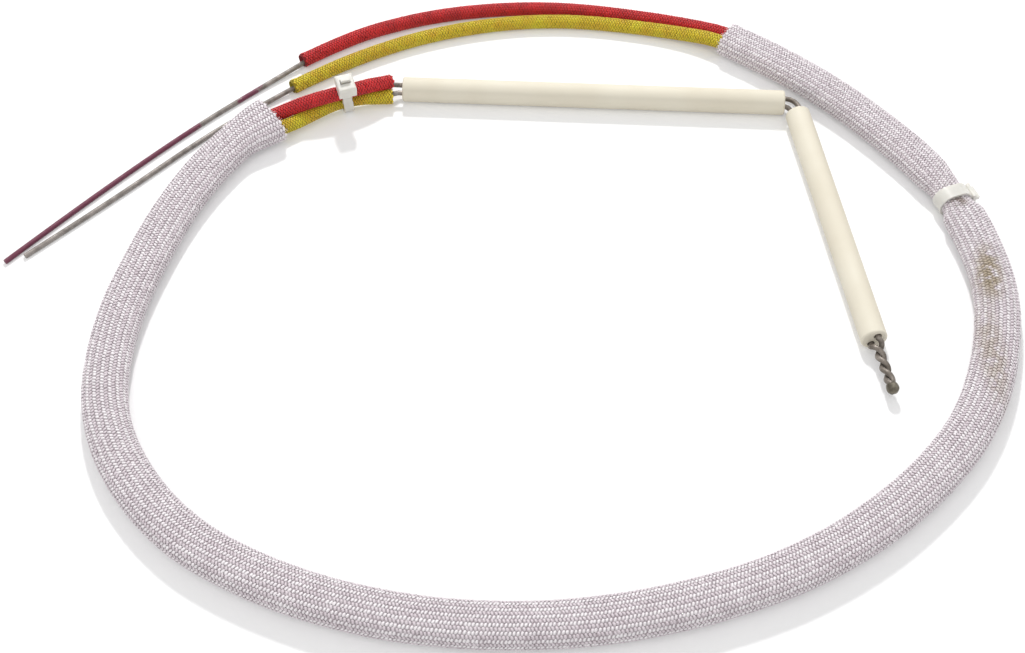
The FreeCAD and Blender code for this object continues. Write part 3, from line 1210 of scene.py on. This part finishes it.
BEAD_METAL = Finish("bead_metal", rgb(128, 122, 108), rgb(72, 66, 56), 0.5, OXIDE, BARE)
NYLON = Finish(
    "natural_nylon", rgb(226, 224, 216), rgb(214, 211, 204), 0.32, MOULDED,
    (
        ("Subsurface Weight", 0.5), ("Subsurface Radius", (1.0, 0.95, 0.9)),
        ("Subsurface Scale", 0.0015),
    ),
)


# ---- the studio -----------------------------------------------------------------------------------
def towards(azimuth: float, elevation: float) -> Vector:
    """Direction from the probe towards something round it.

    Args:
        azimuth: Turn round the probe, in degrees.
        elevation: Height above the horizon, in degrees.

    Returns:
        The direction, of length 1.
    """
    turn, rise = math.radians(azimuth), math.radians(elevation)
    level = math.cos(rise)
    return Vector((math.sin(turn) * level, -math.cos(turn) * level, math.sin(rise)))


@dataclass
class Lamp:
    """A soft square lamp that faces the probe.

    Attributes:
        name: Its name.
        azimuth: Its turn round the probe, in degrees.
        elevation: Its height above the horizon, in degrees.
        distance: Its distance from the probe.
        size: Its side.
        power: Its power in watts.
    """

    name: str
    azimuth: float
    elevation: float
    distance: float
    size: float
    power: float

    def build(self) -> None:
        """Make the lamp."""
        data = bpy.data.lights.new(self.name, "AREA")
        data.size = self.size
        data.energy = self.power
        back = towards(self.azimuth, self.elevation)
        lamp = show(self.name, data)
        lamp.location = back * self.distance
        lamp.rotation_euler = back.to_track_quat("Z", "Y").to_euler()


@dataclass
class Studio:
    """Camera, floor and light.

    Attributes:
        looks_at: The point on the floor that the camera looks at.
        azimuth: Turn of the camera round the probe, in degrees.
        elevation: Height of the camera above the horizon, in degrees.
        distance: Distance of the camera from that point.
        lens: Focal length in millimetres on a 36 mm sensor.
        floor_size: Side of the floor.
        floor_glow: Light that the floor adds where it is seen directly.
        room_light: Strength of the white room, which is 1 where it is seen directly.
        lamps: The lamps.
    """

    looks_at: Point = (-0.02867, -0.02929, 0.0)
    azimuth: float = 1.9
    elevation: float = 52.5
    distance: float = 0.4209
    lens: float = 61.98
    floor_size: float = 8.0
    floor_glow: float = 0.17
    room_light: float = 0.60
    lamps: tuple[Lamp, ...] = (
        Lamp("key_lamp", 186.0, 47.0, 1.2, 0.10, 8.5),
        Lamp("fill_lamp", -20.0, 58.0, 1.6, 1.4, 6.0),
    )

    def make_camera(self) -> None:
        """Make the camera and set it as the scene's."""
        data = bpy.data.cameras.new("camera")
        data.lens = self.lens
        data.sensor_width = 36.0
        data.clip_start = 0.01
        data.clip_end = 20.0
        camera = show("camera", data)
        back = towards(self.azimuth, self.elevation)
        camera.location = Vector(self.looks_at) + back * self.distance
        camera.rotation_euler = back.to_track_quat("Z", "Y").to_euler()
        bpy.context.scene.camera = camera

    def seen_directly(self, sheet: Sheet) -> NodeSocket:
        """Tell the rays that show the background from those that light the probe.

        Args:
            sheet: The sheet of the floor or the room.

        Returns:
            1 for rays from the camera, a gloss or a clear piece, and 0 for the others.
        """
        path = sheet.add("ShaderNodeLightPath")
        shown = sheet.maths("MAXIMUM", path.outputs["Is Camera Ray"], path.outputs["Is Glossy Ray"])
        return sheet.maths("MAXIMUM", shown, path.outputs["Is Transmission Ray"])

    def make_floor(self) -> None:
        """Make the pale floor, which keeps the probe's shadow."""
        half = self.floor_size / 2
        corners = np.array([(-half, -half, 0), (half, -half, 0), (half, half, 0), (-half, half, 0)])
        material, sheet, shader = new_material("pale_floor")
        shader.inputs["Base Color"].default_value = rgb(238, 238, 238)
        shader.inputs["Roughness"].default_value = 0.9
        shader.inputs["Specular IOR Level"].default_value = 0.1
        shader.inputs["Emission Color"].default_value = (1.0, 1.0, 1.0, 1.0)
        glow = sheet.maths("MULTIPLY", self.seen_directly(sheet), self.floor_glow)
        sheet.feed(glow, shader.inputs["Emission Strength"])
        mesh_piece("floor", corners, [[0, 1, 2, 3]], material)

    def make_world(self) -> None:
        """Make the white surroundings."""
        world = bpy.data.worlds.new("white_room")
        world.use_nodes = True
        sheet = Sheet(world.node_tree)
        background = world.node_tree.nodes["Background"]
        background.inputs["Color"].default_value = (1.0, 1.0, 1.0, 1.0)
        strength = sheet.ramp(self.seen_directly(sheet), 0.0, 1.0, (self.room_light, 1.0))
        sheet.feed(strength, background.inputs["Strength"])
        bpy.context.scene.world = world

    def build(self) -> None:
        """Make everything that isn't the probe."""
        self.make_camera()
        self.make_floor()
        self.make_world()
        for lamp in self.lamps:
            lamp.build()
        bpy.context.scene.view_settings.view_transform = "Standard"


# ---- the lead -------------------------------------------------------------------------------------
@dataclass
class OuterSleeve:
    """A white braided sleeve over the pair.

    Attributes:
        name: Name of its CAD node, which starts the names of its pieces.
        controls: Control points of its line.
        width: Width of the oval.
        height: Height of the oval.
        start: The mouth at the start of the line.
        end: The mouth at its end.
        weave: The braid.
        frays_at_end: True where the frayed mouth is at the end.
        seed: Seed of its unevenness.
        fibres: Number of frayed fibres.
        fibre_reach: Shortest and longest reach of those past the mouth.
    """

    name: str
    controls: list[Point]
    width: float
    height: float
    start: Mouth
    end: Mouth
    weave: Weave
    frays_at_end: bool
    seed: int
    fibres: int = 90
    fibre_reach: tuple[float, float] = (0.0002, 0.0009)

    def build(self, others: list[Object]) -> None:
        """Args:
            others: Other pieces on this sleeve; not used.
        """
        crown = self.weave.crown
        skin = Skin(
            Route(self.name, self.controls), self.width / 2 - crown, self.height / 2 - crown,
            self.start, self.end, lumps=0.012, wander=0.004, fullness=2.3,
        )
        braid = Braid(self.name, skin, self.weave, self.seed)
        wall = braid.make_wall(OUTER_WALL, WHITE_UNDER_SHADED.material())
        span = (0.0, skin.route.length)
        pieces = []
        for hand, finish in ((Hand.RIGHT, WHITE_RIGHT), (Hand.LEFT, WHITE_LEFT_SHADED)):
            label = hand.name.lower() + "_yarns"
            pieces.append(braid.make_yarns(label, hand, span, finish.material()))
        pieces.append(
            braid.make_fray(self.frays_at_end, self.fibres, self.fibre_reach, WHITE_RIGHT.material())
        )
        braid.declare(wall, pieces)


@dataclass
class InnerSleeve:
    """A coloured braided sleeve over one wire, with yarns on its open stretches.

    Attributes:
        name: Name of its CAD node, which starts the names of its pieces.
        leg: The wire that it covers.
        yarn: Finish of its yarns.
        under: Finish of its wall, a darker copy of the yarn's colour as painted shade in the gaps between
            the floats.
        slot: The record's material slot; not used.
        seed: Seed of its unevenness.
        near_span: Length of the open stretch next to the insulator.
        far_span: Length of the open stretch past the white sleeve.
        radius: Its outside radius.
        weave: The braid.
        flare: How both its mouths open.
    """

    name: str
    leg: Leg
    yarn: Finish
    under: Finish
    slot: str
    seed: int
    near_span: float = 0.038
    far_span: float = 0.130
    radius: float = 0.0019
    weave: Weave = Weave(16, 0.00074, 0.00110, 0.00056, 0.00013, 0.00007)
    flare: Mouth = Mouth(1.06, 1.06, 0.0003, 0.0022)

    def build(self, others: list[Object]) -> None:
        """Args:
            others: Other pieces on this sleeve; not used.
        """
        size = self.radius - self.weave.crown
        route = Route(self.name, sleeve_route(self.leg))
        skin = Skin(route, size, size, self.flare, self.flare, lumps=0.01, wander=0.01)
        braid = Braid(self.name, skin, self.weave, self.seed)
        wall = braid.make_wall(INNER_WALL, self.under.material())
        spans = {"near": (0.0, self.near_span), "far": (route.length - self.far_span, route.length)}
        pieces = []
        for stretch, span in spans.items():
            for hand in Hand:
                label = f"{stretch}_{hand.name.lower()}_yarns"
                pieces.append(braid.make_yarns(label, hand, span, self.yarn.material()))
        braid.declare(wall, pieces)


@dataclass
class LeadWire:
    """One bare alloy wire, from the rear insulator through its sleeve to its bare end.

    Attributes:
        name: Name of its CAD node, which starts the name of its piece.
        leg: Which wire it is.
        finish: Its finish.
        slot: The record's material slot; not used.
        radius: Its radius.
    """

    name: str
    leg: Leg
    finish: Finish
    slot: str
    radius: float = 0.00065

    def build(self) -> None:
        route = Route(self.name, wire_route(self.leg))
        wire = route.curve(self.name + "_core", self.radius)
        wire.data.materials.append(self.finish.material())
        keep(wire, Body.LEAD)
        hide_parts(self.name)


# ---- the hot end ----------------------------------------------------------------------------------
@dataclass
class HotEnd:
    """The two ceramic tubes, the bent wires between them, and the twisted and fused tips.

    Attributes:
        rear_length: Length of the rear insulator.
        rear_gap: Bare wire between it and the elbow, along its axis.
        front_gap: Bare wire between the elbow and the front insulator, along that one's axis.
        front_length: Length of the front insulator.
        turn: Turn of the elbow, in degrees.
        roll: Turn of the two front bores out of the level, in degrees.
        ease: Roundness of the wires' bend.
        lean: Turn of the twist off the front insulator's axis, in degrees.
        tip_spare: Straight wire past the front insulator.
        twist_length: Length of the twist.
        wire_radius: Radius of the wires.
        bead_radius: Radius of the bead.
    """

    rear_length: float = 0.100
    rear_gap: float = 0.0025
    front_gap: float = 0.0040
    front_length: float = 0.0745
    turn: float = 78.75
    roll: float = 65.0
    ease: float = 0.50
    lean: float = 1.8
    tip_spare: float = 0.0006
    twist_length: float = 0.0135
    wire_radius: float = 0.00065
    bead_radius: float = 0.00155

    def front_direction(self) -> Vector:
        """Direction of the front insulator, away from the elbow."""
        return level_direction(-REAR_TILT - self.turn)

    def on_front(self, distance: float, side: float = 0.0) -> Vector:
        """A point on the front insulator's axis, or on the line of one bore.

        Args:
            distance: Its distance from the elbow.
            side: 0 for the axis, and a leg's value for that leg's bore.

        Returns:
            The point.
        """
        elbow = Vector(REAR_END) + level_direction(-REAR_TILT) * (self.rear_length + self.rear_gap)
        along = self.front_direction()
        across = Vector((-along.y, along.x, 0.0))
        roll = math.radians(self.roll)
        pair = across * math.cos(roll) + Vector((0.0, 0.0, math.sin(roll)))
        return elbow + along * distance + pair * (side * HALF_SPACING)

    def bend_wire(self, leg: Leg, material: Material) -> None:
        """Make one wire between the insulators, which bends with the elbow.

        Args:
            leg: Which wire.
            material: Its finish.
        """
        start = on_rear(self.rear_length, leg)
        end = self.on_front(self.front_gap, leg.value)
        reach = (end - start).length * self.ease / math.sqrt(2)
        leaving = start + level_direction(-REAR_TILT) * reach
        arriving = end - self.front_direction() * reach
        path = []
        for share in np.linspace(0.0, 1.0, 33):
            rest = 1 - share
            near = start * rest**3 + leaving * (3 * rest**2 * share)
            path.append(near + arriving * (3 * rest * share**2) + end * share**3)
        radii = np.full(len(path), self.wire_radius)
        vertices, faces = capped_tube(np.array([place[:] for place in path]), radii, 20)
        name = leg.name.lower() + "_wire_elbow"
        piece = mesh_piece(name + "_bend", vertices, faces, material)
        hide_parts(name)
        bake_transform(piece)
        LOG.info("%s bends between lead and front_leg", piece.name)

    def make_bead(self, material: Material) -> None:
        """Make the fused bead, lumpy and slightly drawn out towards the twist.

        Args:
            material: Its finish.
        """
        along = level_direction(-REAR_TILT - self.turn + self.lean)
        up = Vector((0.0, 0.0, 1.0))
        twist_start = self.on_front(self.front_gap + self.front_length + self.tip_spare)
        centre = twist_start + along * self.twist_length
        rings, sides = 28, 32
        vertices = []
        for ring in range(rings):
            polar = math.pi * (ring + 0.5) / rings
            for side in range(sides):
                turn = 2 * math.pi * side / sides
                out = up * math.cos(turn) + along.cross(up) * math.sin(turn)
                way = -along * math.cos(polar) + out * math.sin(polar)
                lump = noise.noise(way * 1.7 + Vector((3.1, 0.4, 7.7)))
                fine = noise.noise(way * 5.0)
                size = self.bead_radius * (0.97 + 0.09 * lump + 0.02 * fine)
                neck = -along * (0.0005 * max(math.cos(polar), 0.0) ** 2)
                vertices.append((centre + way * size + neck)[:])
        faces = closed_faces(rings, sides)
        bead = mesh_piece("fused_bead", np.array(vertices), faces, material)
        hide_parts("hot_junction_bead")
        keep(bead, Body.FRONT_LEG)

    def build(self) -> None:
        """Dress the CAD pieces and make the bent wires and the bead."""
        wire_metal = PROBE_WIRE.material()
        ceramic = CERAMIC.material()
        for node in ("rear_insulator", "front_insulator"):
            dress(node, ceramic)
        for leg in Leg:
            name = leg.name.lower()
            dress(name + "_wire_rear", wire_metal)
            dress(name + "_wire_tip", wire_metal)
            self.bend_wire(leg, wire_metal)
        self.make_bead(BEAD_METAL.material())


def dress(node: str, material: Material) -> Object:
    """Give a CAD node its finish.

    Args:
        node: Name of the node.
        material: The finish.

    Returns:
        The node's object.
    """
    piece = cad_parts[node]
    for slot in piece.material_slots:
        slot.material = material
    LOG.info("%s wears %s", node, material.name)
    return piece


# ---- the whole probe ------------------------------------------------------------------------------
def white_sleeves() -> tuple[OuterSleeve, OuterSleeve]:
    """The two white sleeves, which meet end to end under a tie.

    Returns:
        The long sleeve and the short one.
    """
    long_z, short_z = 0.0038, 0.0036
    long_line = [(x, y, long_z) for x, y in LOOP[: JOINT_AFTER + 1]] + [joint_place(long_z)]
    short_line = [joint_place(short_z)] + [(x, y, short_z) for x, y in LOOP[JOINT_AFTER + 1 :]]
    long_sleeve = OuterSleeve(
        "long_outer_sleeve", long_line, 0.0108, 0.0076,
        start=Mouth(1.32, 1.08, 0.0, 0.013),
        end=Mouth(0.73, 0.72, 0.0022, 0.0045),
        weave=Weave(32, 0.00083, 0.00128, 0.00074, 0.00020, 0.00010),
        frays_at_end=False, seed=11,
    )
    short_sleeve = OuterSleeve(
        "short_outer_sleeve", short_line, 0.0100, 0.0072,
        start=Mouth(0.79, 0.765, 0.0022, 0.010),
        end=Mouth(0.99, 1.02, 0.0, 0.005),
        weave=Weave(32, 0.00078, 0.00122, 0.00070, 0.00019, 0.00010),
        frays_at_end=True, seed=31,
    )
    return long_sleeve, short_sleeve


def main() -> None:
    """Build the studio, the lead and the hot end, in that order."""
    logging.basicConfig(level=logging.INFO, format="%(name)s: %(message)s")
    Studio().build()
    nylon = NYLON.material()
    joint_tie = dress("sleeve_joint_tie", nylon)
    front_tie = dress("front_cable_tie", nylon)
    long_sleeve, short_sleeve = white_sleeves()
    long_sleeve.build([joint_tie])
    short_sleeve.build([])
    red, yellow = Leg.NEGATIVE, Leg.POSITIVE
    InnerSleeve("red_inner_sleeve", red, RED_YARN, RED_UNDER_SHADED, "red_braid", 51).build([front_tie])
    InnerSleeve(
        "yellow_inner_sleeve", yellow, YELLOW_YARN, YELLOW_UNDER_SHADED, "yellow_braid", 71
    ).build([])
    LeadWire("negative_lead_wire", red, MARKED_WIRE, "marked_wire").build()
    LeadWire("positive_lead_wire", yellow, LEAD_WIRE, "lead_wire").build()
    HotEnd().build()


if __name__ == "__main__":
    main()
